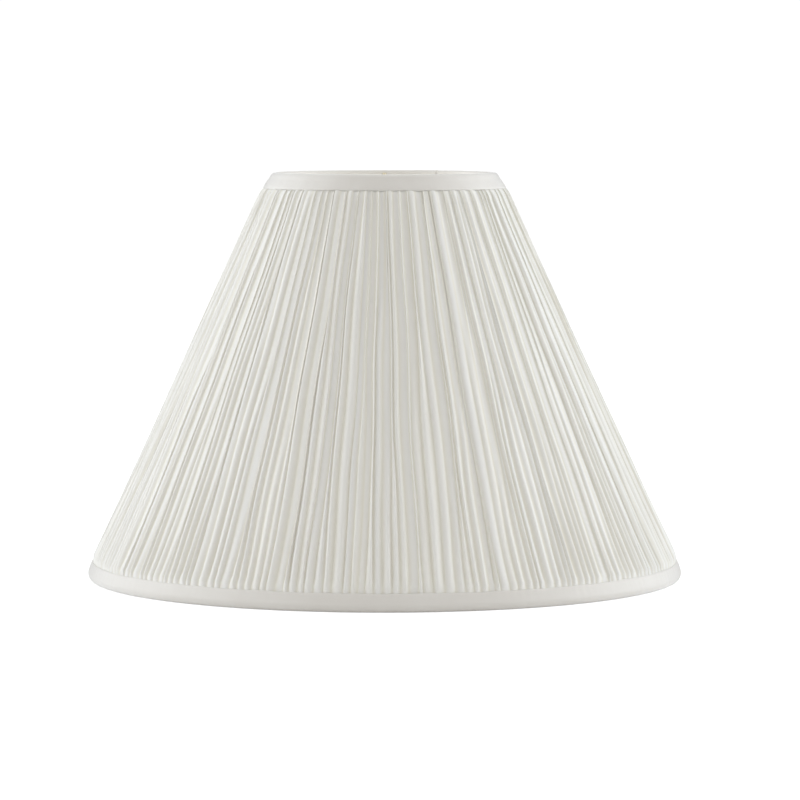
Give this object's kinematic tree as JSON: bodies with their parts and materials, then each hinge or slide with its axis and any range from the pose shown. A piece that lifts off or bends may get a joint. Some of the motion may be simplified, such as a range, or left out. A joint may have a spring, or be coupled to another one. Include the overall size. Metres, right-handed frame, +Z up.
{
  "type": "lamp shade",
  "caption": "Cone-shaped empire lamp shade: finely pleated off-white cloth over a stiff liner, taped rims on wire rings, and a recessed spider fitter with a drilled washer.",
  "frame": {"origin": "centre of the plane that the lower rim stands on, on the shade's axis", "axes": "+Z up along the shade's axis to the upper rim and fitter; +Y the back, where the liner's seam is"},
  "size_m": [0.4063, 0.4062, 0.2771],
  "materials": {
    "pleated_cloth": "matte",
    "trim_tape": "satin",
    "liner_styrene": "satin",
    "seam_tape": "satin",
    "ring_wire": "satin",
    "fitter_metal": "satin"
  },
  "bodies": {
    "root": {"top_ring": "ring_wire", "bottom_ring": "ring_wire", "spider_arm_1": "fitter_metal", "spider_arm_2": "fitter_metal", "spider_arm_3": "fitter_metal", "fitter_washer": "fitter_metal", "liner": "liner_styrene", "liner_seam_tape": "seam_tape", "pleated_cover": "pleated_cloth", "top_trim": "trim_tape", "bottom_trim": "trim_tape"}
  },
  "joints": []
}
